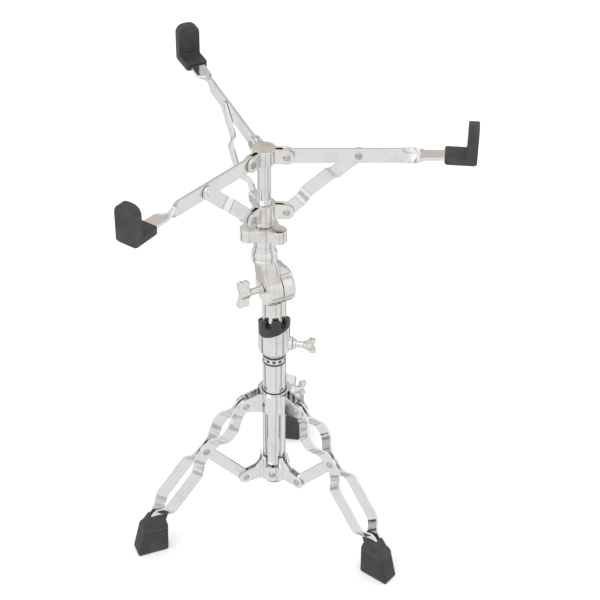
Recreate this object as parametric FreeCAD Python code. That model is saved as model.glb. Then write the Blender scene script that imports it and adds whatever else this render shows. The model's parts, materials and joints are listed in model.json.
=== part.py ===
import FreeCAD, Part
import os
from math import atan2, cos, degrees, hypot, pi, radians, sin, sqrt

# Drum stand: a folding tripod, a telescopic column, a tilter and a three-arm basket.
# Origin on the floor under the column's axis, +Z up, the rear leg along +Y. Millimetres.

# ---- column ----
TUBE_R = 12.7
TUBE_BORE_R = 11.5
TUBE_BOTTOM_Z = 64.0
TUBE_TOP_Z = 262.0
HEIGHT_TUBE_R = 11.1
HEIGHT_TUBE_BORE_R = 9.6
HEIGHT_TUBE_BOTTOM_Z = 84.0
HEIGHT_TUBE_TOP_Z = 305.0
RUNNING_FIT = 0.05
BAND_Z = (229.6, 241.0)

# ---- tripod ----
LEG_AZIMUTHS = (90.0, 210.0, 330.0)
PIVOT_R = 35.0
LOWER_PIVOT_Z = 72.3
LINK = 70.0
LEG_LEAN = 41.0
LOWER_LEG_LEAN = 37.8
LOWER_LEG_LENGTH = 109.0
COLLAR_PIVOT_Z = LOWER_PIVOT_Z + 2 * LINK * cos(radians(LEG_LEAN))
LEG_WIDTH = 15.0
LEG_THICK = 2.5
LEG_HALF_GAP = 1.5
BRACE_WIDTH = 13.0
BRACE_THICK = 2.6
BOW_REACH = 14.0
PIN_R = 2.5
PIN_HOLE_R = PIN_R + RUNNING_FIT
PLATE = 2.0
PLATE_BEND = 5.0
HUB_WALL_R = TUBE_R + 1.8
FOOT_LENGTH = 35.8
FOOT_WIDTH = 20.5
FOOT_HEIGHT = 51.0
FOOT_SHOULDER = 38.0
FOOT_CENTRE_R = 149.5

# ---- height clamp ----
CLAMP_R = 17.0
CLAMP_Z = (243.0, 270.5)
CLAMP_BOLT_Z = 254.0
CROWN_TOP_Z = 292.5
CROWN_LOBES = 6
CROWN_RAKE = 27.0
CROWN_FRONT = 286.0
RIM_MIDDLE_Z = 274.0
RIM_RAKE = 21.0
RIM_HIGH_SIDE = 15.0

# ---- tilter ----
TILT_AZIMUTH = 35.0
TILT_Z = 328.6
BARREL_R = 19.4
BARREL_LEFT = -13.6
BARREL_SPLIT = 2.1
BARREL_GAP = 0.6
BARREL_RIGHT = 16.2
STEM_BOTTOM_Z = 286.0
ROD_OFFSET = 11.4
NECK_R = 11.4
FLANGE_R = 13.5
FLANGE_Z = (366.0, 374.5)
NECK_TOP_Z = 385.0

# ---- basket ----
BASKET_AZIMUTHS = (3.0, 123.0, 243.0)
ROD_R = 7.1
ROD_TOP_Z = 496.0
HUB_PIVOT_Z = 490.6
SLIDER_PIVOT_Z = 426.6
BASKET_PIVOT_R = 22.8
ARM_RISE = 4.0
ARM_RIVET = 70.3
ARM_WIDTH = 15.5
ARM_THICK = 3.4
ARM_TWIST = (111.0, 137.0)
ARM_LENGTH = 178.0
ARM_BRACE_WIDTH = 14.0
ARM_BRACE_THICK = 2.6
ARM_BRACE_STEP = 9.0
LUG_HALF = 4.6
LUG_END_R = 8.0
NUT_Z = (395.0, 409.0)
NUT_R = 26.4
GRIP_R = (176.0, 207.5)
GRIP_Z = (496.8, 538.0)
GRIP_WIDTH = 23.6
GRIP_BASE = 8.6
GRIP_WALL = 10.4
GRIP_ARCH = 9.0

X = FreeCAD.Vector(1, 0, 0)
Y = FreeCAD.Vector(0, 1, 0)
Z = FreeCAD.Vector(0, 0, 1)


def vec(x, y, z):
    return FreeCAD.Vector(x, y, z)


def turned(shape, angle, axis=Z, at=(0, 0, 0)):
    copy = shape.copy()
    copy.rotate(vec(*at), axis, angle)
    return copy


def moved(shape, x=0.0, y=0.0, z=0.0):
    copy = shape.copy()
    copy.translate(vec(x, y, z))
    return copy


def ring(outer, inner, low, high):
    """A plain tube about the Z axis."""
    body = Part.makeCylinder(outer, high - low, vec(0, 0, low))
    return body.cut(Part.makeCylinder(inner, high - low, vec(0, 0, low)))


def turned_profile(points):
    """A solid of revolution about Z from its (radius, height) outline."""
    corners = [vec(r, 0, z) for r, z in points]
    face = Part.Face(Part.makePolygon(corners + corners[:1]))
    return face.revolve(vec(0, 0, 0), Z, 360)


def prism(points, low, high):
    """An outline in the XZ plane, extruded along Y from low to high."""
    corners = [vec(x, low, z) for x, z in points]
    face = Part.Face(Part.makePolygon(corners + corners[:1]))
    return face.extrude(vec(0, high - low, 0))


def rounded_rectangle(x, y, z, length, width, radius):
    """A closed wire at height z, with four straight sides and four round corners."""
    hx, hy = length / 2, width / 2
    edges = []
    corners = ((1, 1, 0), (-1, 1, 90), (-1, -1, 180), (1, -1, 270))
    arcs = []
    for sx, sy, start in corners:
        centre = vec(x + sx * (hx - radius), y + sy * (hy - radius), z)
        arcs.append(Part.makeCircle(radius, centre, Z, start, start + 90))
    for arc, following in zip(arcs, arcs[1:] + arcs[:1]):
        edges.append(arc)
        edges.append(Part.makeLine(arc.Vertexes[-1].Point, following.Vertexes[0].Point))
    return Part.Wire(edges)


def loft(sections, straight=False):
    """A solid through closed wires, with straight sides or with smooth ones."""
    return Part.makeLoft(sections, True, straight)


def bend(start, end):
    """An edge in the XY plane that leaves one point and reaches the next along X."""
    if abs(start.y - end.y) < 1e-6:
        return Part.makeLine(start, end)
    pull = vec((end.x - start.x) * 0.45, 0, 0)
    curve = Part.BezierCurve()
    curve.setPoles([start, start + pull, end - pull, end])
    return curve.toShape()


def strap(path, width, thick, holes, hole_r, near_end, far_end):
    """A flat strap along X, its width along Z, bent sideways through the (x, y) places in path.

    near_end and far_end are the x places its round ends turn about, or None for a square end.
    """
    sides = []
    rows = []
    for offset in (-thick / 2, thick / 2):
        points = [vec(x, y + offset, -width / 2) for x, y in path]
        rows.append(points)
        sides += [bend(a, b) for a, b in zip(points, points[1:])]
    ends = [Part.makeLine(rows[0][i], rows[1][i]) for i in (0, -1)]
    face = Part.Face(Part.Wire(Part.__sortEdges__(sides + ends)))
    body = face.extrude(vec(0, 0, width))
    reach = 40.0
    half = width / 2
    for centre, side in ((near_end, -1), (far_end, 1)):
        if centre is None:
            continue
        corner = min(centre, centre + side * 2 * half)
        waste = Part.makeBox(2 * half, 2 * reach, 4 * half, vec(corner, -reach, -2 * half))
        waste = waste.cut(Part.makeCylinder(half, 2 * reach, vec(centre, -reach, 0), Y))
        body = body.cut(waste)
    for x in holes:
        body = body.cut(Part.makeCylinder(hole_r, 2 * reach, vec(x, -reach, 0), Y))
    return body


def pin(length, radius, head_r, head):
    """A riveted pin along Y, centred on the origin, with a low head at each end."""
    half = length / 2
    body = Part.makeCylinder(radius, length, vec(0, -half, 0), Y)
    for side in (-1, 1):
        cap = Part.makeCone(head_r, head_r * 0.6, head, vec(0, side * half, 0), vec(0, side, 0))
        body = body.fuse(cap)
    return body.removeSplitter()


def about(azimuths, shape):
    """One copy of a shape for each azimuth, as a list."""
    return [turned(shape, azimuth) for azimuth in azimuths]


# ---------------------------------------------------------------- tripod

STRAP_MIDDLE = LEG_HALF_GAP + LEG_THICK / 2
ELBOW_R = PIVOT_R + LINK * sin(radians(LEG_LEAN))
ELBOW_Z = COLLAR_PIVOT_Z - LINK * cos(radians(LEG_LEAN))


def leg_strap_half(side):
    """One of a leg's two straps, in the XZ plane of its leg, at rest."""
    middle = STRAP_MIDDLE
    flat = 8.6
    half = LEG_WIDTH / 2
    crest = LINK / 2
    upper_path = [(-half, middle), (flat, middle), (crest - 2, BOW_REACH), (crest + 2, BOW_REACH),
                  (LINK - flat, middle), (LINK + half, middle)]
    lower_path = [(0, middle), (flat, middle), (29.0, BOW_REACH), (75.0, BOW_REACH),
                  (LOWER_LEG_LENGTH - 13, 3.6), (LOWER_LEG_LENGTH + 3, 3.6)]
    upper = strap(upper_path, LEG_WIDTH, LEG_THICK, (0.0,), PIN_HOLE_R, 0.0, LINK)
    lower = strap(lower_path, LEG_WIDTH, LEG_THICK, (), PIN_HOLE_R, None, None)
    upper = moved(turned(upper, 90 - LEG_LEAN, Y), PIVOT_R, 0, COLLAR_PIVOT_Z)
    lower = moved(turned(lower, 90 - LOWER_LEG_LEAN, Y), ELBOW_R, 0, ELBOW_Z)
    whole = upper.fuse(lower).removeSplitter()
    whole = whole.cut(Part.makeCylinder(PIN_HOLE_R, 80, vec(ELBOW_R, -40, ELBOW_Z), Y))
    return whole if side > 0 else whole.mirror(vec(0, 0, 0), Y)


def leg_rivets():
    """The two short rivets at a leg's elbow, one in each strap, with their heads outside."""
    elbow = vec(ELBOW_R, 0, ELBOW_Z)
    solids = []
    for side in (-1, 1):
        out = vec(0, side, 0)
        shank = Part.makeCylinder(PIN_HOLE_R, LEG_THICK, elbow + out * LEG_HALF_GAP, out)
        head = Part.makeCone(4.2, 2.6, 1.6, elbow + out * (LEG_HALF_GAP + LEG_THICK), out)
        solids.append(shank.fuse(head).removeSplitter())
    return solids


def foot_blank(shrink):
    """The foot's tapering block, made smaller all round by shrink."""
    levels = ((0.0, 0.0, 0.96, 0.94), (2.5, 0.3, 1.0, 1.0), (FOOT_SHOULDER - 3, 4.5, 0.82, 0.90),
              (FOOT_SHOULDER, 5.0, 0.76, 0.82), (FOOT_SHOULDER + 3, 5.6, 0.67, 0.66),
              (FOOT_HEIGHT - 2, 10.0, 0.60, 0.60), (FOOT_HEIGHT, 10.3, 0.52, 0.52))
    sections = []
    for z, inward, along, across_it in levels:
        length = FOOT_LENGTH * along - 2 * shrink
        width = FOOT_WIDTH * across_it - 2 * shrink
        sections.append(rounded_rectangle(FOOT_CENTRE_R - inward, 0, z, length, width, 2.2))
    return loft(sections, True)


def foot():
    """A rubber foot with grooves round its sides and a slot for the two straps."""
    body = foot_blank(0.0)
    core = foot_blank(1.0)
    grooves = 6
    for i in range(grooves):
        z = 5.0 + 4.6 * i
        slab = Part.makeBox(60, 40, 1.4, vec(FOOT_CENTRE_R - 30, -20, z))
        body = body.cut(slab.cut(core))
    for side in (-1, 1):
        body = body.cut(leg_strap_half(side))
    return body


def brace():
    """The single strap from the lower hub to a leg's elbow."""
    half = BRACE_WIDTH / 2
    body = strap([(-half, 0), (LINK + half, 0)], BRACE_WIDTH, BRACE_THICK, (0.0, LINK), PIN_HOLE_R, 0.0, LINK)
    return moved(turned(body, LEG_LEAN - 90, Y), PIVOT_R, 0, LOWER_PIVOT_Z)


def sheet_side(inner_r, cheek_inner, offset):
    """One side of a hub plate's bent sheet, seen from above, for legs at azimuths 0 and 120."""
    middle_r = inner_r + PLATE / 2
    middle_y = cheek_inner + PLATE / 2
    far = hypot(middle_r + PLATE_BEND, 0)
    bend_x = sqrt(far ** 2 - (middle_y + PLATE_BEND) ** 2)
    centre = vec(bend_x, middle_y + PLATE_BEND, 0)
    bend_r = PLATE_BEND - offset
    start = vec(PIVOT_R + 20, middle_y + offset, 0)
    leave = vec(bend_x, middle_y + offset, 0)
    meet = centre * ((middle_r + offset) / far)
    inward = (leave - centre).normalize() + (meet - centre).normalize()
    corner = centre + inward.normalize() * bend_r
    half = [Part.makeLine(start, leave), Part.Arc(leave, corner, meet).toShape()]
    mirror_line = vec(-sin(pi / 3), cos(pi / 3), 0)
    other = [edge.mirror(vec(0, 0, 0), mirror_line) for edge in half]
    crown = vec(cos(pi / 3), sin(pi / 3), 0) * (middle_r + offset)
    far_meet = other[1].Vertexes[-1].Point
    wall = Part.Arc(meet, crown, far_meet).toShape()
    return half + [wall] + other[::-1], start, other[0].Vertexes[0].Point


def hub_plate(inner_r, cheek_inner, outline, low, high, pivot_z, rivet):
    """One pressed plate: it hugs the tube between two legs and its ends are clevis cheeks.

    It is drawn for the legs at azimuths 0 and 120. The outline is a cheek's (radius, height).
    """
    outer, outer_start, outer_end = sheet_side(inner_r, cheek_inner, PLATE / 2)
    inner, inner_start, inner_end = sheet_side(inner_r, cheek_inner, -PLATE / 2)
    ends = [Part.makeLine(outer_start, inner_start), Part.makeLine(outer_end, inner_end)]
    face = Part.Face(Part.Wire(Part.__sortEdges__(outer + inner + ends)))
    sheet = moved(face.extrude(vec(0, 0, 120)), 0, 0, low - 20)
    cheek = prism(outline, 0, cheek_inner + PLATE + 3.5)
    other = turned(cheek.mirror(vec(0, 0, 0), Y), 120)
    band = Part.makeCylinder(inner_r + 6, high - low, vec(0, 0, low))
    body = sheet.common(cheek.fuse([other, band]).removeSplitter())
    for azimuth in (0, 120):
        hole = Part.makeCylinder(PIN_R, 40, vec(PIVOT_R, -20, pivot_z), Y)
        body = body.cut(turned(hole, azimuth))
    if rivet:
        hole = Part.makeCylinder(rivet, 40, vec(0, 0, (low + high) / 2), vec(cos(pi / 3), sin(pi / 3), 0))
        body = body.cut(hole)
    return body.removeSplitter()


def round_end(pivot_x, pivot_z, radius, start, stop, steps=8):
    """Points round a cheek's end, from one angle to another (degrees, in the XZ plane)."""
    angles = [radians(start + (stop - start) * i / steps) for i in range(steps + 1)]
    return [(pivot_x + radius * cos(a), pivot_z + radius * sin(a)) for a in angles]


def lower_hub_plate():
    """The lower hub's cheek climbs the tube to a point and slopes down to its round end."""
    end_r = 7.8
    rise = 26.0
    top = [(TUBE_R - 1, LOWER_PIVOT_Z + rise), (TUBE_R + 1.5, LOWER_PIVOT_Z + rise)]
    slope = [(TUBE_R + 5, LOWER_PIVOT_Z + 17), (TUBE_R + 11, LOWER_PIVOT_Z + 11)]
    end = round_end(PIVOT_R, LOWER_PIVOT_Z, end_r, 80, -90)
    foot_edge = [(PIVOT_R - 6, LOWER_PIVOT_Z - end_r + 1.0), (TUBE_R - 1, LOWER_PIVOT_Z - end_r + 2.0)]
    outline = top + slope + end + foot_edge
    return hub_plate(HUB_WALL_R, BRACE_THICK / 2 + 0.3, outline, LOWER_PIVOT_Z - end_r + 2.0,
                     LOWER_PIVOT_Z + 13.0, LOWER_PIVOT_Z, 2.4)


COLLAR_RING_R = 16.6
COLLAR_LOW_Z = COLLAR_PIVOT_Z - 12.0
COLLAR_HIGH_Z = COLLAR_PIVOT_Z + 13.0


def collar_plate():
    """The leg collar's plate: a deep cheek on each side of a leg's two straps."""
    end_r = 8.2
    inner = COLLAR_RING_R
    outline = [(inner - 1, COLLAR_HIGH_Z - 0.5), (inner + 6, COLLAR_HIGH_Z - 1.5)]
    outline += round_end(PIVOT_R, COLLAR_PIVOT_Z, end_r, 75, -90)
    outline += [(inner + 6, COLLAR_LOW_Z + 1.5), (inner - 1, COLLAR_LOW_Z)]
    cheek_inner = LEG_HALF_GAP + LEG_THICK + 0.35
    return hub_plate(inner, cheek_inner, outline, COLLAR_LOW_Z, COLLAR_HIGH_Z - 0.5, COLLAR_PIVOT_Z, 0)


COLLAR_BUSH_R = 13.6
COLLAR_BOLT_AZIMUTH = 30.0
COLLAR_BOLT_Z = COLLAR_PIVOT_Z + 3.0
COLLAR_BOSS_R = 6.6


def collar_bolt_hole():
    return bar_out(COLLAR_BOLT_AZIMUTH, COLLAR_BOLT_Z, 5, 40, BOLT_R + RUNNING_FIT)


def collar_ring():
    """The sleeve that slides on the base tube."""
    body = ring(COLLAR_RING_R, COLLAR_BUSH_R, COLLAR_LOW_Z, COLLAR_HIGH_Z)
    return body.cut(collar_bolt_hole())


def collar_bushing():
    """The nylon liner between sleeve and tube."""
    body = ring(COLLAR_BUSH_R, TUBE_R + RUNNING_FIT, COLLAR_LOW_Z, COLLAR_HIGH_Z + 0.4)
    return body.cut(collar_bolt_hole())


def bolted_collar_plate(plate):
    """The collar plate that carries the wing bolt's boss, already in its place."""
    boss = bar_out(COLLAR_BOLT_AZIMUTH, COLLAR_BOLT_Z, COLLAR_RING_R - 1, 22.6, COLLAR_BOSS_R)
    boss = boss.cut(Part.makeCylinder(COLLAR_RING_R, 60, vec(0, 0, COLLAR_BOLT_Z - 30)))
    return plate.fuse(boss).cut(collar_bolt_hole()).removeSplitter()


# ---------------------------------------------------------------- wing bolts

BOLT_R = 3.6


def bar_out(azimuth, z, start, end, radius):
    """A round bar that points straight out from the Z axis."""
    direction = vec(cos(radians(azimuth)), sin(radians(azimuth)), 0)
    return Part.makeCylinder(radius, end - start, vec(0, 0, z) + direction * start, direction)


def wing_bolt(tip, seat, reach, span):
    """A wing bolt along +X: plain shank from tip to seat, a collar, then two wings in the XZ plane."""
    neck = seat + (reach - seat) * 0.48
    shank = Part.makeCylinder(BOLT_R, neck - tip, vec(tip, 0, 0), X)
    collar = Part.makeCylinder(5.6, 3.0, vec(seat, 0, 0), X)
    hub = Part.makeCone(4.4, 5.4, reach - 4 - neck, vec(neck, 0, 0), X)
    half = span / 2
    tip_r = span * 0.12
    pieces = [collar, hub]
    for side in (-1, 1):
        outline = [(neck + 1, 0), (neck + 1, side * 4.0), (reach - span * 0.36, side * (half - tip_r)),
                   (reach - tip_r, side * half), (reach, side * (half - tip_r)), (reach - 3.0, 0)]
        pieces.append(prism(outline, -2.6, 2.6))
        pieces.append(Part.makeCylinder(tip_r, 5.2, vec(reach - tip_r, -2.6, side * (half - tip_r)), Y))
        pieces.append(Part.makeCylinder(tip_r, 5.2, vec(reach - span * 0.36 + tip_r * 0.6, -2.6,
                                                        side * (half - tip_r * 1.1)), Y))
    return shank.fuse(pieces).removeSplitter()


# ---------------------------------------------------------------- column

def base_tube():
    tube = ring(TUBE_R, TUBE_BORE_R, TUBE_BOTTOM_Z, TUBE_TOP_Z)
    return tube.cut(bar_out(0, CLAMP_BOLT_Z, 5, 20, BOLT_R + RUNNING_FIT))


def tube_end_cap():
    plug = Part.makeCylinder(TUBE_BORE_R, 8, vec(0, 0, TUBE_BOTTOM_Z))
    return plug.fuse(Part.makeCylinder(TUBE_R, 2.5, vec(0, 0, TUBE_BOTTOM_Z - 2.5))).removeSplitter()


def hub_rivets():
    """The rivets that hold the lower hub's plates to the tube."""
    z = LOWER_PIVOT_Z + (13.0 - 5.8) / 2
    solids = []
    for azimuth in LEG_AZIMUTHS:
        shank = bar_out(azimuth + 60, z, TUBE_R - 1, HUB_WALL_R + PLATE, 2.4)
        direction = vec(cos(radians(azimuth + 60)), sin(radians(azimuth + 60)), 0)
        head = Part.makeCone(3.9, 2.4, 1.7, vec(0, 0, z) + direction * (HUB_WALL_R + PLATE), direction)
        whole = shank.fuse(head).removeSplitter()
        whole = whole.cut(Part.makeCylinder(TUBE_R, 40, vec(0, 0, z - 20)))
        solids.append(whole)
    return solids


def above(middle_z, rake, high_side):
    """Everything over a plane that tilts up towards one azimuth."""
    space = Part.makeBox(100, 80, 60, vec(-50, -40, 0))
    return turned(moved(turned(space, -rake, Y), 0, 0, middle_z), high_side)


def height_clamp():
    """The clamp at the base tube's mouth, with a raked rim. It holds the crown and the height bolt."""
    low = CLAMP_Z[0]
    high = CROWN_TOP_Z
    seat = TUBE_TOP_Z
    body = turned_profile([(TUBE_R, low), (14.6, low), (CLAMP_R, low + 3.5), (CLAMP_R, high),
                           (14.5, high), (14.5, seat), (TUBE_R, seat)])
    boss = bar_out(0, CLAMP_BOLT_Z, TUBE_R + 1, 20.0, 7.6)
    boss = boss.cut(Part.makeCylinder(TUBE_R + 1, 60, vec(0, 0, low - 10)))
    body = body.fuse(boss).cut(above(RIM_MIDDLE_Z, RIM_RAKE, RIM_HIGH_SIDE))
    return body.cut(bar_out(0, CLAMP_BOLT_Z, 5, 40, BOLT_R + RUNNING_FIT)).removeSplitter()


def clamp_crown():
    """The nylon crown: a liner in the clamp that opens into a raked ring of lobes."""
    bore = HEIGHT_TUBE_R + RUNNING_FIT
    mouth = TUBE_R + 0.6
    outer = CLAMP_R - 0.2
    high = CLAMP_Z[1]
    body = turned_profile([(bore, TUBE_TOP_Z), (14.5, TUBE_TOP_Z), (14.5, high - 5), (outer, high - 5),
                           (outer + 0.4, high + 12), (outer + 0.4, CROWN_TOP_Z - 2), (16.0, CROWN_TOP_Z),
                           (mouth, CROWN_TOP_Z), (mouth, STEM_BOTTOM_Z - 2), (bore, STEM_BOTTOM_Z - 2)])
    depth = 10.5
    notch_r = 3.2
    start = mouth - 0.6
    low = CROWN_TOP_Z - depth + notch_r
    for i in range(CROWN_LOBES):
        azimuth = CROWN_FRONT + (i + 0.5) * 360 / CROWN_LOBES
        round_bottom = Part.makeCylinder(notch_r, 20, vec(start, 0, low), X)
        slot = Part.makeBox(20, 2 * notch_r, depth, vec(start, -notch_r, low))
        body = body.cut(turned(round_bottom.fuse(slot), azimuth))
    middle_z = CROWN_TOP_Z - (outer - 1) * sin(radians(CROWN_RAKE))
    body = body.cut(above(middle_z, CROWN_RAKE, CROWN_FRONT))
    return body.cut(height_clamp())


def height_tube():
    return ring(HEIGHT_TUBE_R, HEIGHT_TUBE_BORE_R, HEIGHT_TUBE_BOTTOM_Z, HEIGHT_TUBE_TOP_Z)


def height_glide():
    """The nylon glide at the height tube's foot: a ring in the base tube and a spigot in the height tube."""
    low = HEIGHT_TUBE_BOTTOM_Z
    ring_part = Part.makeCylinder(TUBE_BORE_R - RUNNING_FIT, 7.7, vec(0, 0, low - 8))
    spigot = Part.makeCylinder(HEIGHT_TUBE_BORE_R - RUNNING_FIT, 20, vec(0, 0, low - 2))
    body = ring_part.fuse(spigot)
    return body.cut(Part.makeCylinder(6.0, 60, vec(0, 0, low - 20))).removeSplitter()


# ---------------------------------------------------------------- tilter

def across(shape):
    """From the tilter's own frame (axle along X through the origin) to its place."""
    return moved(turned(shape, TILT_AZIMUTH), 0, 0, TILT_Z)


AXLE_HOLE_R = BOLT_R + RUNNING_FIT


def tilter_base():
    """The lower casting: a stem on the height tube and the fixed half of the barrel."""
    low = STEM_BOTTOM_Z - TILT_Z
    split = BARREL_SPLIT + BARREL_GAP / 2
    stem = Part.makeCylinder(TUBE_R, -low - 6, vec(0, 0, low))
    sweep = Part.makeCylinder(BARREL_R + 0.7, split + 40, vec(-40, 0, 0), X)
    stem = stem.cut(sweep)
    barrel = Part.makeCylinder(BARREL_R - 1.2, BARREL_RIGHT - split, vec(split, 0, 0), X)
    rim = Part.makeCylinder(BARREL_R, BARREL_RIGHT - split - 2.4, vec(split, 0, 0), X)
    cheek = Part.makeCone(BARREL_R, BARREL_R - 1.2, 2.4, vec(BARREL_RIGHT - 2.4, 0, 0), X)
    body = stem.fuse([barrel, rim, cheek])
    tube_top = HEIGHT_TUBE_TOP_Z - TILT_Z
    body = body.cut(Part.makeCylinder(HEIGHT_TUBE_R, tube_top - low, vec(0, 0, low)))
    body = body.cut(Part.makeCylinder(AXLE_HOLE_R, BARREL_RIGHT + 10, vec(-8, 0, 0), X))
    return across(body.removeSplitter())


def tilter_head():
    """The upper casting: the turning half of the barrel, its arm and hood, and the rod's flange."""
    split = BARREL_SPLIT - BARREL_GAP / 2
    x = -ROD_OFFSET
    low, high = FLANGE_Z[0] - TILT_Z, FLANGE_Z[1] - TILT_Z
    top = NECK_TOP_Z - TILT_Z
    middle = (BARREL_LEFT + split) / 2
    length = split - BARREL_LEFT
    barrel = Part.makeCylinder(BARREL_R, length - 1.4, vec(BARREL_LEFT + 1.4, 0, 0), X)
    rim = Part.makeCone(BARREL_R - 1.2, BARREL_R, 1.4, vec(BARREL_LEFT, 0, 0), X)
    arm = loft([rounded_rectangle(middle, 0, 2, length, 2 * 17.0, 3),
                rounded_rectangle(middle - 1.6, 0, 16, length + 3.2, 2 * 14.4, 4),
                rounded_rectangle(x + 1, 0, low, 21.0, 2 * 12.0, 7)])
    flange = Part.makeCylinder(FLANGE_R, high - low, vec(x, 0, low), Z)
    shoulder = Part.makeCone(FLANGE_R, NECK_R, 5.0, vec(x, 0, high), Z)
    neck = Part.makeCylinder(NECK_R, top - high, vec(x, 0, high), Z)
    groove = ring(20.0, FLANGE_R - 0.9, 0, 2.0)
    groove = moved(groove, x, 0, (low + high) / 2 - 1.0)
    hood = prism([(x, 12), (14.2, 12), (14.2, 18.5), (12.0, 22.0), (3.0, 29.0), (x, low)], -9.5, 9.5)
    sweep = Part.makeCylinder(BARREL_R + 0.7, 40, vec(split, 0, 0), X)
    body = barrel.fuse(rim).fuse(arm).fuse(hood.cut(sweep)).fuse(flange.cut(groove))
    body = body.fuse(shoulder).fuse(neck)
    body = body.cut(Part.makeCylinder(ROD_R, 60, vec(x, 0, low - 12), Z))
    body = body.cut(Part.makeCylinder(AXLE_HOLE_R, 60, vec(-30, 0, 0), X))
    spot_face = Part.makeCylinder(6.4, 20, vec(BARREL_LEFT - 20, 0, 0), X)
    return across(body.cut(spot_face).removeSplitter())


def tilter_wing_bolt():
    """The wing bolt on the tilter's axle, with its wings on the arm's side."""
    bolt = wing_bolt(-BARREL_RIGHT + 1.5, -BARREL_LEFT + 0.4, 43.0, 34.0)
    bolt = turned(turned(bolt, 180), 4, X)
    return across(bolt)


# ---------------------------------------------------------------- basket

def at_rod(shape):
    """From the basket's own frame, with the rod on Z, to its place beside the column's axis."""
    return moved(shape, -ROD_OFFSET * cos(radians(TILT_AZIMUTH)), -ROD_OFFSET * sin(radians(TILT_AZIMUTH)))


def basket_rod():
    low = FLANGE_Z[0] - 12
    return at_rod(Part.makeCylinder(ROD_R, ROD_TOP_Z - low, vec(0, 0, low)))


def rod_ferrule():
    """The ring on the rod between the tilter's neck and the nut."""
    return at_rod(ring(11.0, ROD_R, NECK_TOP_Z, NUT_Z[0] - 0.4))


def clevis_hub(pivot_z, low, high, body_r, slot_half, bore_r):
    """A round hub with three forked lugs, one for each arm."""
    body = Part.makeCylinder(body_r, high - low, vec(0, 0, low))
    for azimuth in BASKET_AZIMUTHS:
        top = [(0, high), (BASKET_PIVOT_R - 2, high)]
        end = round_end(BASKET_PIVOT_R, pivot_z, LUG_END_R, 90, -90)
        base = [(BASKET_PIVOT_R - 4, pivot_z - LUG_END_R), (0, low)]
        lug = prism(top + end + base, -LUG_HALF, LUG_HALF)
        body = body.fuse(turned(lug, azimuth))
    body = body.removeSplitter()
    for azimuth in BASKET_AZIMUTHS:
        slot = Part.makeBox(40, 2 * slot_half, 60, vec(body_r - 1.0, -slot_half, pivot_z - 30))
        hole = Part.makeCylinder(PIN_R, 40, vec(BASKET_PIVOT_R, -20, pivot_z), Y)
        body = body.cut(turned(slot.fuse(hole), azimuth))
    return body.cut(Part.makeCylinder(bore_r, high - low, vec(0, 0, low)))


def basket_hub():
    """The fixed hub: its pin holes are open and its top is closed over the rod's end."""
    low, high = HUB_PIVOT_Z - LUG_END_R, HUB_PIVOT_Z + LUG_END_R
    body = clevis_hub(HUB_PIVOT_Z, low, high, 12.0, ARM_THICK / 2 + 0.3, ROD_R)
    body = body.fuse(Part.makeCylinder(ROD_R + 1, high - ROD_TOP_Z, vec(0, 0, ROD_TOP_Z)))
    return at_rod(body.removeSplitter())


def basket_slider():
    """The sliding hub, pushed up the rod by the nut."""
    low, high = SLIDER_PIVOT_Z - 10.0, SLIDER_PIVOT_Z + LUG_END_R
    body = clevis_hub(SLIDER_PIVOT_Z, low, high, 12.0, ARM_BRACE_THICK / 2 + 0.3, ROD_R + RUNNING_FIT)
    skirt = ring(10.5, ROD_R + RUNNING_FIT, NUT_Z[1] + 0.3, low + 1)
    return at_rod(body.fuse(skirt).removeSplitter())


def basket_pins(pivot_z, length):
    """One riveted pin for each arm."""
    one = moved(pin(length, PIN_R, 4.0, 1.5), BASKET_PIVOT_R, 0, pivot_z)
    return [at_rod(solid) for solid in about(BASKET_AZIMUTHS, one)]


def basket_nut():
    """The three-lobed hand nut."""
    low, high = NUT_Z
    lobe_r = 8.6
    body = Part.makeCylinder(15.0, high - low, vec(0, 0, low))
    for azimuth in (-27, 93, 213):
        lobe = Part.makeCylinder(lobe_r, high - low, vec(NUT_R - lobe_r, 0, low))
        web = prism([(0, low), (NUT_R - lobe_r, low), (NUT_R - lobe_r, high), (0, high)], -lobe_r, lobe_r)
        body = body.fuse(turned(lobe.fuse(web), azimuth))
    return at_rod(body.cut(Part.makeCylinder(ROD_R + RUNNING_FIT, 30, vec(0, 0, low - 5))).removeSplitter())


def arm():
    """An arm: a strap on edge with a quarter twist, then flat into its grip. It starts at its pivot."""
    half = ARM_WIDTH / 2
    start, stop = ARM_TWIST
    edge_on = strap([(-half, 0), (start + 1, 0)], ARM_WIDTH, ARM_THICK, (0.0,), PIN_HOLE_R, 0.0, None)
    sections = []
    steps = 8
    for i in range(steps + 1):
        s = start + (stop - start) * i / steps
        turn = -90 * i / steps
        corners = [vec(s, y * ARM_THICK / 2, z * half) for y, z in ((-1, -1), (1, -1), (1, 1), (-1, 1))]
        section = Part.makePolygon(corners + corners[:1])
        sections.append(turned(section, turn, X, (s, 0, 0)))
    twist = loft(sections)
    flat = Part.makeBox(ARM_LENGTH - stop + 1, ARM_WIDTH, ARM_THICK, vec(stop - 1, -half, -ARM_THICK / 2))
    head = Part.makeCone(3.8, 2.4, 1.5, vec(ARM_RIVET, -ARM_THICK / 2, 0), vec(0, -1, 0))
    body = edge_on.fuse(twist).fuse(flat).fuse(head).removeSplitter()
    return moved(turned(body, -ARM_RISE, Y), BASKET_PIVOT_R, 0, HUB_PIVOT_Z)


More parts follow.
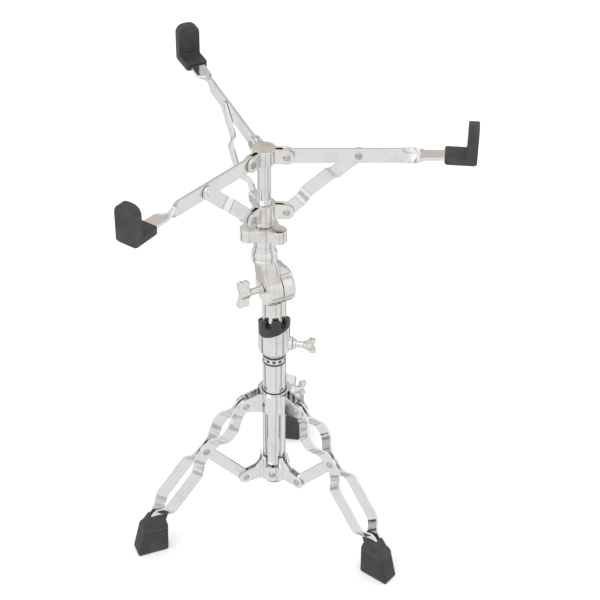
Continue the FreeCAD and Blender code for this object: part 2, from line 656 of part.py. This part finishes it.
def grip():
    """A rubber grip: a foot round the arm's end and an upright with an arched top."""
    inner, outer = GRIP_R
    low, high = GRIP_Z
    half = GRIP_WIDTH / 2
    base = loft([rounded_rectangle((inner + outer) / 2, 0, low, outer - inner - 2, GRIP_WIDTH - 2, 2.5),
                 rounded_rectangle((inner + outer) / 2, 0, low + 1.5, outer - inner, GRIP_WIDTH, 2.5),
                 rounded_rectangle((inner + outer) / 2, 0, low + GRIP_BASE, outer - inner, GRIP_WIDTH, 2.5)], True)
    wall = Part.makeBox(GRIP_WALL, GRIP_WIDTH, high - low - 2, vec(outer - GRIP_WALL, -half, low + 2))
    top = [edge for edge in wall.Edges if edge.BoundBox.ZMin > high - 1 and edge.BoundBox.XLength > 1]
    wall = wall.makeFillet(GRIP_ARCH, top)
    body = base.fuse(wall).removeSplitter()
    return body.cut(arm())


def brace_geometry():
    """The arm brace's length and its rise at rest, from the hub, the slider and the arm's rivet."""
    along = ARM_RIVET * cos(radians(ARM_RISE))
    up = HUB_PIVOT_Z + ARM_RIVET * sin(radians(ARM_RISE)) - SLIDER_PIVOT_Z
    return hypot(along, up), degrees(atan2(up, along))


def arm_brace():
    """A strap in the slider's fork that steps out beside the arm, wide of it and then against it."""
    length, rise = brace_geometry()
    half = ARM_BRACE_WIDTH / 2
    at_arm = ARM_THICK / 2 + 0.3 + ARM_BRACE_THICK / 2
    path = [(-half, 0), (16.0, 0), (30.0, ARM_BRACE_STEP), (57.0, ARM_BRACE_STEP), (68.0, at_arm),
            (length + half, at_arm)]
    body = strap(path, ARM_BRACE_WIDTH, ARM_BRACE_THICK, (0.0,), PIN_HOLE_R, 0.0, length)
    head = Part.makeCone(3.8, 2.4, 1.5, vec(length, at_arm + ARM_BRACE_THICK / 2, 0), Y)
    body = body.fuse(head).removeSplitter()
    return moved(turned(body, -rise, Y), BASKET_PIVOT_R, 0, SLIDER_PIVOT_Z)


# ---------------------------------------------------------------- the parts

def save(name, solids):
    """Write one sub-part, whose shape may be several separate solids."""
    if not isinstance(solids, list):
        solids = [solids]
    found = [solid for shape in solids for solid in shape.Solids]
    shape = found[0] if len(found) == 1 else Part.makeCompound(found)
    shape.exportStep(os.path.join("parts", name + ".step"))
    box = shape.BoundBox
    print(f"{name:24s} {len(found)} solid(s), valid {shape.isValid()}, z {box.ZMin:.1f} to {box.ZMax:.1f}")


def main():
    os.makedirs("parts", exist_ok=True)
    save("base_tube", base_tube())
    save("tube_end_cap", tube_end_cap())
    save("lower_hub_rivets", hub_rivets())
    save("height_clamp", height_clamp())
    save("height_clamp_crown", clamp_crown())
    save("marker_band", ring(TUBE_R + 0.3, TUBE_R, *BAND_Z))
    clamp_bolt = turned(wing_bolt(HEIGHT_TUBE_R + 0.35, 20.4, 45.0, 20.0), 8, X)
    save("height_clamp_wing_bolt", moved(clamp_bolt, 0, 0, CLAMP_BOLT_Z))
    save("height_tube", height_tube())
    save("height_tube_glide", height_glide())

    save("leg_collar", collar_ring())
    save("leg_collar_bushing", collar_bushing())
    bolt = turned(wing_bolt(TUBE_R + 0.35, 23.0, 37.0, 20.0), 10, X)
    save("leg_collar_wing_bolt", moved(turned(bolt, COLLAR_BOLT_AZIMUTH), 0, 0, COLLAR_BOLT_Z))
    lower_half = BRACE_THICK / 2 + 0.3 + PLATE
    collar_half = LEG_HALF_GAP + LEG_THICK + 0.35 + PLATE
    lower_pin = moved(pin(2 * lower_half, PIN_R, 4.0, 1.5), PIVOT_R, 0, LOWER_PIVOT_Z)
    collar_pin = moved(pin(2 * collar_half, PIN_R, 4.2, 1.6), PIVOT_R, 0, COLLAR_PIVOT_Z)
    save("lower_hub_pins", about(LEG_AZIMUTHS, lower_pin))
    save("leg_collar_pins", about(LEG_AZIMUTHS, collar_pin))

    lower_plate, upper_plate, leg_brace, leg_foot = lower_hub_plate(), collar_plate(), brace(), foot()
    strap_left, strap_right = leg_strap_half(1), leg_strap_half(-1)
    rivets = leg_rivets()
    for i, azimuth in enumerate(LEG_AZIMUTHS, 1):
        save(f"lower_hub_plate_{i}", turned(lower_plate, azimuth))
        plate = turned(upper_plate, azimuth)
        has_bolt = azimuth + 60 == COLLAR_BOLT_AZIMUTH + 360
        save(f"leg_collar_plate_{i}", bolted_collar_plate(plate) if has_bolt else plate)
        save(f"leg_{i}_strap_left", turned(strap_left, azimuth))
        save(f"leg_{i}_strap_right", turned(strap_right, azimuth))
        save(f"leg_{i}_rivets", [turned(rivet, azimuth) for rivet in rivets])
        save(f"leg_{i}_brace", turned(leg_brace, azimuth))
        save(f"leg_{i}_foot", turned(leg_foot, azimuth))

    save("tilter_base", tilter_base())
    save("tilter_head", tilter_head())
    save("tilter_wing_bolt", tilter_wing_bolt())
    save("basket_rod", basket_rod())
    save("rod_ferrule", rod_ferrule())
    save("basket_hub", basket_hub())
    save("basket_hub_pins", basket_pins(HUB_PIVOT_Z, 2 * LUG_HALF))
    save("basket_slider", basket_slider())
    save("basket_slider_pins", basket_pins(SLIDER_PIVOT_Z, 2 * LUG_HALF))
    save("basket_nut", basket_nut())
    one_arm, one_grip, one_brace = arm(), grip(), arm_brace()
    for i, azimuth in enumerate(BASKET_AZIMUTHS, 1):
        save(f"arm_{i}", at_rod(turned(one_arm, azimuth)))
        save(f"arm_{i}_grip", at_rod(turned(one_grip, azimuth)))
        save(f"arm_{i}_brace", at_rod(turned(one_brace, azimuth)))


main()
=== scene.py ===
import json
from math import atan2, cos, pi, radians, sin, sqrt

import bmesh
import bpy
from mathutils import Matrix, Vector


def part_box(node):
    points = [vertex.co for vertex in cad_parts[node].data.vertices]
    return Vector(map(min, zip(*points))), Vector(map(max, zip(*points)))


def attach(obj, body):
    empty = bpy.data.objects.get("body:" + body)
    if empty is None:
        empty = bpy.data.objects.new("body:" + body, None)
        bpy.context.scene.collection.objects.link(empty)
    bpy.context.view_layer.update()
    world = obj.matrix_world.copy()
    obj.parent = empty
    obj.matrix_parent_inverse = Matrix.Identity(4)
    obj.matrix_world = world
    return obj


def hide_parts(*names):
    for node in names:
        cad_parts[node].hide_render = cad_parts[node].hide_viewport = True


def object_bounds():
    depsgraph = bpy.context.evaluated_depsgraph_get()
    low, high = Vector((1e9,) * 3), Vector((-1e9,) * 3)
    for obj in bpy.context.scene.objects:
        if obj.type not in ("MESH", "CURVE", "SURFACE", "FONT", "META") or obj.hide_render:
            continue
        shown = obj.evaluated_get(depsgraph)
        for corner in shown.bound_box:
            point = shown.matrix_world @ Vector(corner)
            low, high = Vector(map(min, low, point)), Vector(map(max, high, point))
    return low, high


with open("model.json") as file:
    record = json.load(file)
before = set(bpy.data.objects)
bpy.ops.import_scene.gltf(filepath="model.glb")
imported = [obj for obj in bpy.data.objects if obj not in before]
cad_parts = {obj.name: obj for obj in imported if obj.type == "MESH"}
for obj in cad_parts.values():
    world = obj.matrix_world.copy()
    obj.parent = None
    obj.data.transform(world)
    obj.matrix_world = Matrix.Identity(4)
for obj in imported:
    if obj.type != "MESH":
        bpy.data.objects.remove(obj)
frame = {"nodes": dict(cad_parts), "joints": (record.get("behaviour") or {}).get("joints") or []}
cad_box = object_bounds()


# ---------------------------------------------------------------- camera, floor and light
# A long lens looks down on the stand from in front. The floor is plain and pale. The light is a
# white room with a few narrow dark cards in it, which give the chrome its thin dark lines, and a
# dim warm wall behind, which the tops of the castings pick up.

class Value:
    """A shader output that can be added, multiplied and so on with numbers and other outputs."""

    def __init__(self, tree, output):
        self.tree = tree
        self.output = output

    def maths(self, operation, first, second):
        return self.tree.node("ShaderNodeMath", {"operation": operation}, first, second)

    def __add__(self, other):
        return self.maths("ADD", self, other)

    def __radd__(self, other):
        return self.maths("ADD", other, self)

    def __sub__(self, other):
        return self.maths("SUBTRACT", self, other)

    def __rsub__(self, other):
        return self.maths("SUBTRACT", other, self)

    def __mul__(self, other):
        return self.maths("MULTIPLY", self, other)

    def __rmul__(self, other):
        return self.maths("MULTIPLY", other, self)

    def __truediv__(self, other):
        return self.maths("DIVIDE", self, other)

    def __abs__(self):
        return self.maths("ABSOLUTE", self, 0.0)


class Tree:
    """Makes shader nodes: the type, then the settings, then the inputs in order or by name."""

    def __init__(self, owner):
        owner.use_nodes = True
        self.nodes = owner.node_tree.nodes
        self.links = owner.node_tree.links

    def node(self, kind, settings=None, *inputs, out=0, **named):
        made = self.nodes.new(kind)
        for key, value in (settings or {}).items():
            setattr(made, key, value)
        for key, value in [*enumerate(inputs), *named.items()]:
            self.join(value, made.inputs[key])
        return Value(self, made.outputs[out])

    def join(self, value, socket):
        if isinstance(value, Value):
            self.links.new(value.output, socket)
        else:
            socket.default_value = value

    def soft_step(self, value, low, high):
        """0 below low, 1 above high, and a smooth climb between."""
        return self.node("ShaderNodeMapRange", {"interpolation_type": "SMOOTHSTEP"}, value, low, high)

    def mix(self, factor, first, second):
        """A colour between two others."""
        mixer = self.nodes.new("ShaderNodeMix")
        mixer.data_type = "RGBA"
        for key, value in (("Factor_Float", factor), ("A_Color", first), ("B_Color", second)):
            self.join(value, [s for s in mixer.inputs if s.identifier == key][0])
        return Value(self, [s for s in mixer.outputs if s.identifier == "Result_Color"][0])

    def axes(self, place):
        """The three parts of a position or direction."""
        split = self.node("ShaderNodeSeparateXYZ", None, place).output.node
        return [Value(self, output) for output in split.outputs]


# Each card's bearing and half width in degrees, and how much light it takes away.
CARDS = ((-178, 4, 0.70), (-12, 8, 0.40), (-66, 3, 0.30), (62, 5, 0.55), (172, 3, 0.40))
CARD_SOFT_EDGE = 4
WALL_BEARING, WALL_CORE, WALL_REACH = 98, 22, 55
WALL_FOOT_SHADE = 0.45
WARM_WALL = (0.62, 0.57, 0.52, 1)

world = bpy.data.worlds.new("studio")
bpy.context.scene.world = world
room = Tree(world)
around = room.node("ShaderNodeTexCoord", out="Generated")
across, along, up = room.axes(around)
azimuth = room.node("ShaderNodeMath", {"operation": "ARCTAN2"}, along, across)


def beside(bearing, near, far):
    """1 within near degrees of a bearing, 0 past far, and a smooth fall between."""
    off = room.node("ShaderNodeMath", {"operation": "WRAP"}, azimuth - radians(bearing), pi, -pi)
    return 1.0 - room.soft_step(abs(off), radians(near), radians(far))


drift = room.node("ShaderNodeTexNoise", None, Vector=around, Scale=1.3, Detail=1.0)
glow = 0.80 + 0.22 * drift + 0.20 * room.soft_step(up, -0.3, 0.9)
for bearing, half, shade in CARDS:
    glow = glow * (1.0 - shade * beside(bearing, half, half + CARD_SOFT_EDGE))
behind = beside(WALL_BEARING, WALL_CORE, WALL_REACH)
glow = glow * (1.0 - WALL_FOOT_SHADE * behind * (1.0 - room.soft_step(up, -0.15, 0.05)))
warm = behind * room.soft_step(up, 0.10, 0.35) * (1.0 - room.soft_step(up, 0.80, 0.95))
seen = room.node("ShaderNodeLightPath", out="Is Camera Ray")
background = room.nodes["Background"]
room.join(room.mix(warm * (1.0 - seen), (1, 1, 1, 1), WARM_WALL), background.inputs["Color"])
room.join(glow + seen * (1.0 - glow), background.inputs["Strength"])

FLOOR_HALF = 6.0
FLOOR_GAP = 0.0002
floor_mesh = bpy.data.meshes.new("floor")
bm = bmesh.new()
bmesh.ops.create_grid(bm, x_segments=1, y_segments=1, size=FLOOR_HALF)
bm.to_mesh(floor_mesh)
bm.free()
floor = bpy.data.objects.new("floor", floor_mesh)
bpy.context.collection.objects.link(floor)
floor.location.z = cad_box[0][2] - FLOOR_GAP
floor.visible_glossy = False
paper = bpy.data.materials.new("paper")
sheet = Tree(paper)
place = sheet.node("ShaderNodeTexCoord", out="Object")
grain = sheet.node("ShaderNodeTexNoise", None, Scale=6.0, Vector=place)
shader = sheet.nodes["Principled BSDF"]
sheet.join(sheet.mix(grain, (0.90, 0.90, 0.90, 1), (0.93, 0.93, 0.93, 1)), shader.inputs["Base Color"])
shader.inputs["Roughness"].default_value = 0.9
shader.inputs["Emission Color"].default_value = (1, 1, 1, 1)
shader.inputs["Emission Strength"].default_value = 0.28
floor_mesh.materials.append(paper)

lamp = bpy.data.lights.new("softbox", "AREA")
lamp.size = 1.6
lamp.energy = 6.0
softbox = bpy.data.objects.new("softbox", lamp)
softbox.location = (-0.9, -0.8, 2.2)
softbox.rotation_euler = (-softbox.location).to_track_quat("-Z", "Y").to_euler()
bpy.context.collection.objects.link(softbox)

CAMERA_SPOT = (0.2131, -1.3347, 1.3069)
CAMERA_BEARING, CAMERA_DOWN, CAMERA_ROLL = 7.93, 36.42, 0.73
lens = bpy.data.cameras.new("camera")
lens.lens = 96.0
lens.sensor_width = 36.0
camera = bpy.data.objects.new("camera", lens)
camera.matrix_world = (Matrix.Translation(CAMERA_SPOT)
                       @ Matrix.Rotation(radians(CAMERA_BEARING), 4, "Z")
                       @ Matrix.Rotation(radians(90 - CAMERA_DOWN), 4, "X")
                       @ Matrix.Rotation(radians(CAMERA_ROLL), 4, "Z"))
bpy.context.collection.objects.link(camera)
bpy.context.scene.camera = camera
bpy.context.scene.view_settings.view_transform = "Standard"


# ---------------------------------------------------------------- base tube and its end cap
# A drawn steel tube, one inch across, cut square, polished and chromed. A moulded rubber cap
# pushes into its bore and closes its foot.

def metal(name, bright, dull, rough, peel_size, peel):
    """Plated metal, faintly smudged, with the slight waviness that plating has."""
    material = bpy.data.materials.new(name)
    tree = Tree(material)
    place = tree.node("ShaderNodeTexCoord", out="Object")
    smudge = tree.node("ShaderNodeTexNoise", None, Vector=place, Scale=45.0, Detail=4.0, Roughness=0.6)
    fine = tree.node("ShaderNodeTexNoise", None, Vector=place, Scale=900.0, Detail=3.0)
    ripple = tree.node("ShaderNodeTexNoise", None, Vector=place, Scale=peel_size, Detail=1.0)
    marks = tree.soft_step(smudge, 0.45, 0.72)
    shader = tree.nodes["Principled BSDF"]
    tree.join(tree.mix(marks, (*bright, 1), (*dull, 1)), shader.inputs["Base Color"])
    tree.join(rough + 0.05 * marks + 0.03 * fine, shader.inputs["Roughness"])
    bump = tree.node("ShaderNodeBump", None, Height=ripple + 0.04 * fine, Strength=1.0, Distance=peel)
    tree.join(bump, shader.inputs["Normal"])
    shader.inputs["Metallic"].default_value = 1.0
    return material


def moulded(name, bright, dark, rough, grain_size, grain):
    """Black rubber or nylon: mottled, with a fine moulded grain."""
    material = bpy.data.materials.new(name)
    tree = Tree(material)
    place = tree.node("ShaderNodeTexCoord", out="Object")
    mottle = tree.node("ShaderNodeTexNoise", None, Vector=place, Scale=70.0, Detail=3.0)
    grit = tree.node("ShaderNodeTexNoise", None, Vector=place, Scale=grain_size, Detail=3.0, Roughness=0.7)
    dust = tree.soft_step(mottle, 0.40, 0.75)
    shader = tree.nodes["Principled BSDF"]
    tree.join(tree.mix(dust, (*dark, 1), (*bright, 1)), shader.inputs["Base Color"])
    tree.join(rough + 0.12 * dust + 0.08 * grit, shader.inputs["Roughness"])
    bump = tree.node("ShaderNodeBump", None, Height=grit, Strength=1.0, Distance=grain)
    tree.join(bump, shader.inputs["Normal"])
    return material


def eased(bm, width, segments=2, angle=28):
    """Round every edge sharper than an angle in degrees."""
    sharp = [e for e in bm.edges if len(e.link_faces) == 2 and e.calc_face_angle(0) > radians(angle)]
    bmesh.ops.bevel(bm, geom=sharp, offset=width, segments=segments, affect="EDGES", profile=0.5,
                    material=-1, clamp_overlap=True)


def lathe(profile, closed, axis=(0, 0, 1), at=(0, 0, 0), steps=96):
    """Spin a (radius, distance) outline, in millimetres, about an axis through a point."""
    bm = bmesh.new()
    row = [bm.verts.new((r / 1000, 0, z / 1000)) for r, z in profile]
    pairs = list(zip(row, row[1:])) + ([(row[-1], row[0])] if closed else [])
    edges = [bm.edges.new(pair) for pair in pairs]
    bmesh.ops.spin(bm, geom=row + edges, cent=(0, 0, 0), axis=(0, 0, 1), angle=2 * pi, steps=steps,
                   use_merge=True, use_duplicate=False)
    bmesh.ops.remove_doubles(bm, verts=bm.verts, dist=1e-6)
    turn = Vector((0, 0, 1)).rotation_difference(Vector(axis)).to_matrix().to_4x4()
    bmesh.ops.transform(bm, matrix=Matrix.Translation(at) @ turn, verts=bm.verts)
    bmesh.ops.recalc_face_normals(bm, faces=bm.faces)
    return bm


def placed(bm, name, material, body, slot, *nodes, flat_below=35):
    """Turn a bmesh into a finished piece that rides on a body in place of its CAD nodes."""
    bmesh.ops.recalc_face_normals(bm, faces=bm.faces)
    mesh = bpy.data.meshes.new(name)
    bm.to_mesh(mesh)
    bm.free()
    mesh.shade_smooth()
    mesh.set_sharp_from_angle(angle=radians(flat_below))
    mesh.materials.append(material)
    piece = bpy.data.objects.new(name, mesh)
    bpy.context.collection.objects.link(piece)
    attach(piece, body)
    if nodes:
        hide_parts(*nodes)
    return piece


def ends_mm(node):
    """The heights of a CAD piece's bottom and top, in millimetres."""
    return [corner.z * 1000 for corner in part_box(node)]


def sleeve(bore, radius, ends):
    """The closed outline of a plain tube between two heights, for the lathe."""
    low, high = ends
    return [(bore, low), (radius, low), (radius, high), (bore, high)]


chrome = metal("polished_chrome", (0.80, 0.80, 0.81), (0.73, 0.73, 0.74), 0.07, 110.0, 0.00004)
rubber = moulded("black_rubber", (0.060, 0.060, 0.063), (0.035, 0.035, 0.037), 0.50, 1400.0, 0.00012)

TUBE_R, TUBE_BORE_R = 12.7, 11.5
TUBE_EDGE = 0.0004
bm = lathe(sleeve(TUBE_BORE_R, TUBE_R, ends_mm("base_tube")), True)
eased(bm, TUBE_EDGE, 3)
placed(bm, "base_tube_steel", chrome, "stand_base", "chrome", "base_tube")

CAP_RIM, CAP_FLOOR, CAP_WALL = 2.5, 4, 2
low, high = ends_mm("tube_end_cap")
bm = lathe([(0, low), (TUBE_R, low), (TUBE_R, low + CAP_RIM), (TUBE_BORE_R, low + CAP_RIM),
            (TUBE_BORE_R, high), (TUBE_BORE_R - CAP_WALL, high),
            (TUBE_BORE_R - CAP_WALL, low + CAP_FLOOR), (0, low + CAP_FLOOR)], False)
eased(bm, 0.0005, 3)
placed(bm, "tube_end_cap_moulding", rubber, "stand_base", "black_rubber", "tube_end_cap")


# ---------------------------------------------------------------- lower hub
# Three plates, stamped from flat steel, bent in a press and plated, are riveted round the foot
# of the base tube. A pin through the cheeks of two plates carries each leg's brace.

def pressed(node, material, body, slot, width):
    """A CAD shape with its stamped edges rounded, as tumbling leaves them."""
    bm = bmesh.new()
    bm.from_mesh(frame["nodes"][node].data)
    bmesh.ops.remove_doubles(bm, verts=bm.verts, dist=2e-6)
    bmesh.ops.dissolve_limit(bm, angle_limit=radians(0.6), verts=bm.verts, edges=bm.edges,
                             use_dissolve_boundaries=False)
    eased(bm, width)
    piece = placed(bm, node + "_steel", material, body, slot, node, flat_below=50)
    piece.modifiers.new("flat_faces", "WEIGHTED_NORMAL").keep_sharp = True


rivet_metal = metal("rivet_nickel", (0.56, 0.54, 0.51), (0.40, 0.38, 0.35), 0.20, 700.0, 0.00004)

PLATE_EDGE = 0.0004
HEAD_EDGE = 0.0005
for i in (1, 2, 3):
    pressed(f"lower_hub_plate_{i}", chrome, "stand_base", "chrome", PLATE_EDGE)
pressed("lower_hub_rivets", rivet_metal, "stand_base", "rivet", HEAD_EDGE)
pressed("lower_hub_pins", rivet_metal, "stand_base", "rivet", HEAD_EDGE)


# ---------------------------------------------------------------- leg collar
# A chromed steel ring slides on the base tube over a nylon bushing. Three pressed plates hang
# from it and hold the legs by their pins, and a cast wing bolt tightens it on the tube.

def poured(node, material, body, slot, voxel, relax):
    """A CAD shape with every edge and inner corner run together, as casting leaves it."""
    bm = bmesh.new()
    bm.from_mesh(frame["nodes"][node].data)
    bmesh.ops.remove_doubles(bm, verts=bm.verts, dist=2e-6)
    bmesh.ops.recalc_face_normals(bm, faces=bm.faces)
    rough = bpy.data.meshes.new("rough")
    bm.to_mesh(rough)
    bm.free()
    blank = bpy.data.objects.new("blank", rough)
    bpy.context.collection.objects.link(blank)
    grid = blank.modifiers.new("grid", "REMESH")
    grid.mode = "VOXEL"
    grid.voxel_size = voxel
    solid = bpy.data.meshes.new_from_object(blank.evaluated_get(bpy.context.evaluated_depsgraph_get()))
    bpy.data.objects.remove(blank)
    bm = bmesh.new()
    bm.from_mesh(solid)
    for _ in range(relax):
        bmesh.ops.smooth_vert(bm, verts=bm.verts, factor=0.5,
                              use_axis_x=True, use_axis_y=True, use_axis_z=True)
    placed(bm, node + "_casting", material, body, slot, node, flat_below=80)


def dressed(node, material):
    """A CAD piece that is right as it is, and only gets its material."""
    mesh = frame["nodes"][node].data
    mesh.materials.clear()
    mesh.materials.append(material)


cast_chrome = metal("cast_chrome", (0.80, 0.79, 0.77), (0.66, 0.62, 0.58), 0.10, 330.0, 0.00005)
nylon = moulded("black_nylon", (0.050, 0.049, 0.050), (0.028, 0.028, 0.029), 0.32, 1000.0, 0.00006)

RING_EDGE = 0.0006
pressed("leg_collar", chrome, "leg_collar", "chrome", RING_EDGE)
for i in (1, 2, 3):
    pressed(f"leg_collar_plate_{i}", chrome, "leg_collar", "chrome", PLATE_EDGE)
pressed("leg_collar_pins", rivet_metal, "leg_collar", "rivet", HEAD_EDGE)
dressed("leg_collar_bushing", nylon)
poured("leg_collar_wing_bolt", cast_chrome, "leg_collar_wing_bolt", "chrome", 0.0003, 8)


# ---------------------------------------------------------------- legs, their braces and feet
# A leg is two chromed straps, bowed apart and riveted together where they meet, with a rubber
# foot moulded over their ends. A flat strap braces its elbow against the lower hub.

STRAP_EDGE = 0.0005
for i in (1, 2, 3):
    pressed(f"leg_{i}_strap_left", chrome, f"leg_{i}", "chrome", STRAP_EDGE)
    pressed(f"leg_{i}_strap_right", chrome, f"leg_{i}", "chrome", STRAP_EDGE)
    pressed(f"leg_{i}_rivets", rivet_metal, f"leg_{i}", "rivet", HEAD_EDGE)
    pressed(f"leg_{i}_brace", chrome, f"leg_brace_{i}", "chrome", STRAP_EDGE)
    poured(f"leg_{i}_foot", rubber, f"leg_{i}", "black_rubber", 0.0004, 3)


# ---------------------------------------------------------------- marker band
# A printed sleeve round the base tube under the clamp: two dark rings with a pale band between
# them, and plain dark ticks round the band.

BAND_THICK = 0.3
TICKS = 12.0


def band_print():
    """Dark rings and ticks under a clear coat."""
    material = bpy.data.materials.new("marker_print")
    tree = Tree(material)
    across, along, up = tree.axes(tree.node("ShaderNodeTexCoord", out="Object"))
    low, high = [corner.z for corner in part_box("marker_band")]
    from_middle = abs((up - low) / (high - low) - 0.5)
    turn = tree.node("ShaderNodeMath", {"operation": "ARCTAN2"}, along, across)
    beat = tree.node("ShaderNodeMath", {"operation": "SINE"}, turn * TICKS)
    ticks = tree.soft_step(beat, -0.15, 0.15) * (1.0 - tree.soft_step(from_middle, 0.14, 0.17))
    rings = tree.soft_step(from_middle, 0.26, 0.29)
    ink = tree.node("ShaderNodeMath", {"operation": "MAXIMUM"}, ticks, rings)
    shader = tree.nodes["Principled BSDF"]
    tree.join(tree.mix(ink, (0.62, 0.62, 0.63, 1), (0.03, 0.03, 0.032, 1)), shader.inputs["Base Color"])
    tree.join(0.18 + 0.1 * ink, shader.inputs["Roughness"])
    shader.inputs["Coat Weight"].default_value = 0.5
    return material


bm = lathe(sleeve(TUBE_R, TUBE_R + BAND_THICK, ends_mm("marker_band")), True)
eased(bm, 0.0001, 1)
placed(bm, "marker_band_sleeve", band_print(), "stand_base", "marker", "marker_band")


# ---------------------------------------------------------------- height clamp
# A chromed casting on the top of the base tube, with a moulded nylon crown set in its raked
# rim. Its wing bolt grips the height tube.

poured("height_clamp", chrome, "stand_base", "chrome", 0.0004, 6)
poured("height_clamp_crown", nylon, "stand_base", "black_nylon", 0.0004, 4)
poured("height_clamp_wing_bolt", cast_chrome, "height_clamp_wing_bolt", "chrome", 0.0003, 8)


# ---------------------------------------------------------------- height tube and its glide
# A thinner drawn tube that slides and turns in the base tube. The nylon glide between them is
# hidden inside.

HEIGHT_R, HEIGHT_BORE_R = 11.1, 9.6
bm = lathe(sleeve(HEIGHT_BORE_R, HEIGHT_R, ends_mm("height_tube")), True)
eased(bm, TUBE_EDGE, 3)
placed(bm, "height_tube_steel", chrome, "height_tube", "chrome", "height_tube")
dressed("height_tube_glide", nylon)


# ---------------------------------------------------------------- tilter
# Two die castings meet on a plane square to the tilter's axle: one on the height tube and one
# with the neck that holds the basket's rod. A wing bolt clamps their teeth together.

poured("tilter_base", cast_chrome, "height_tube", "cast_chrome", 0.0004, 6)
poured("tilter_head", cast_chrome, "tilt_head", "cast_chrome", 0.0004, 5)
poured("tilter_wing_bolt", cast_chrome, "tilter_wing_bolt", "chrome", 0.00035, 8)


# ---------------------------------------------------------------- basket rod
# A turned steel rod in the tilter's neck, behind a chromed ferrule. It is threaded where the
# hand nut climbs, and its top is hidden in the closed hub.

ROD_R = 7.1
THREAD_LOW, THREAD_HIGH = 396.0, 442.0
PITCH = 1.6
# A thread's outline from one crest: how far up it, and how deep.
THREAD_CUT = ((0, 0), (0.35, 0), (0.8, 0.5), (1.1, 0.5))
low, high = ends_mm("basket_rod")
outline = [(0, low), (ROD_R, low)]
for i in range(int((THREAD_HIGH - THREAD_LOW) / PITCH)):
    crest = THREAD_LOW + i * PITCH
    outline += [(ROD_R - depth, crest + rise) for rise, depth in THREAD_CUT]
outline += [(ROD_R, THREAD_HIGH), (ROD_R, high), (0, high)]
centre = (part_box("basket_rod")[0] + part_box("basket_rod")[1]) / 2
bm = lathe(outline, False, at=(centre.x, centre.y, 0))
placed(bm, "basket_rod_steel", chrome, "tilt_head", "chrome", "basket_rod")
pressed("rod_ferrule", chrome, "tilt_head", "chrome", RING_EDGE)


# ---------------------------------------------------------------- basket nut, slider and hub
# Three die castings on the basket's rod. The hand nut pushes the slider up and so folds the
# arms, which hang on pins in the hub, with their braces on pins in the slider.

poured("basket_nut", cast_chrome, "basket_nut", "cast_chrome", 0.0004, 8)
poured("basket_slider", cast_chrome, "basket_slider", "cast_chrome", 0.0004, 5)
pressed("basket_slider_pins", rivet_metal, "basket_slider", "rivet", HEAD_EDGE)
poured("basket_hub", cast_chrome, "tilt_head", "cast_chrome", 0.0004, 5)
pressed("basket_hub_pins", rivet_metal, "tilt_head", "rivet", HEAD_EDGE)


# ---------------------------------------------------------------- basket arms, braces and grips
# An arm is a strap on edge, given a quarter twist near its end so that it lies flat in its
# moulded rubber grip. A rivet through it holds its brace, a thinner stepped strap.

ARM_WIDTH, ARM_THICK, ARM_LENGTH = 0.0155, 0.0034, 0.178
ARM_RISE = radians(4.0)
TWIST_START, TWIST_END = 0.111, 0.137
ARM_EDGE = 0.0006
RIVET_FROM_PIVOT = 0.0703
RIVET_HEAD_R, RIVET_HEAD_RISE = 3.9, 1.5
RIVET_STEPS = 8

pivots = {joint["name"]: Vector(joint["pos_m"]) for joint in frame["joints"]}
axes = {joint["name"]: Vector(joint["axis"]) for joint in frame["joints"]}
for i in (1, 2, 3):
    bm = bmesh.new()
    bmesh.ops.create_grid(bm, x_segments=150, y_segments=6, size=1.0)
    half = ARM_WIDTH / 2
    for vert in bm.verts:
        s = -half + (vert.co.x + 1) / 2 * (ARM_LENGTH + half)
        reach = sqrt(max(half ** 2 - s ** 2, 0)) if s < 0 else half
        t = min(max((s - TWIST_START) / (TWIST_END - TWIST_START), 0), 1)
        turn = pi / 2 * t * t * (3 - 2 * t)
        side = vert.co.y * reach
        vert.co = (s, side * sin(turn), side * cos(turn))
    bmesh.ops.remove_doubles(bm, verts=bm.verts, dist=1e-6)
    outward = atan2(axes[f"arm_{i}_fold"].x, -axes[f"arm_{i}_fold"].y)
    place = (Matrix.Translation(pivots[f"arm_{i}_fold"]) @ Matrix.Rotation(outward, 4, "Z")
             @ Matrix.Rotation(-ARM_RISE, 4, "Y"))
    bmesh.ops.transform(bm, matrix=place, verts=bm.verts)
    arm = placed(bm, f"arm_{i}_steel", chrome, f"arm_{i}", "chrome", f"arm_{i}", flat_below=50)
    thickness = arm.modifiers.new("thickness", "SOLIDIFY")
    thickness.thickness = ARM_THICK
    thickness.offset = 0
    edges = arm.modifiers.new("edges", "BEVEL")
    edges.width = ARM_EDGE
    edges.segments = 3
    edges.limit_method = "ANGLE"
    edges.angle_limit = radians(50)
    arm.modifiers.new("flat_faces", "WEIGHTED_NORMAL")

    quarter = [pi / 2 * k / RIVET_STEPS for k in range(RIVET_STEPS + 1)]
    dome = [(0, 0)] + [(RIVET_HEAD_R * cos(a), RIVET_HEAD_RISE * sin(a)) for a in quarter]
    bm = lathe(dome, False, axis=(0, -1, 0), at=(RIVET_FROM_PIVOT, -ARM_THICK / 2, 0), steps=48)
    bmesh.ops.transform(bm, matrix=place, verts=bm.verts)
    placed(bm, f"arm_{i}_rivet_head", rivet_metal, f"arm_{i}", "rivet")

    pressed(f"arm_{i}_brace", chrome, f"arm_brace_{i}", "chrome", PLATE_EDGE)
    poured(f"arm_{i}_grip", rubber, f"arm_{i}", "black_rubber", 0.0005, 5)
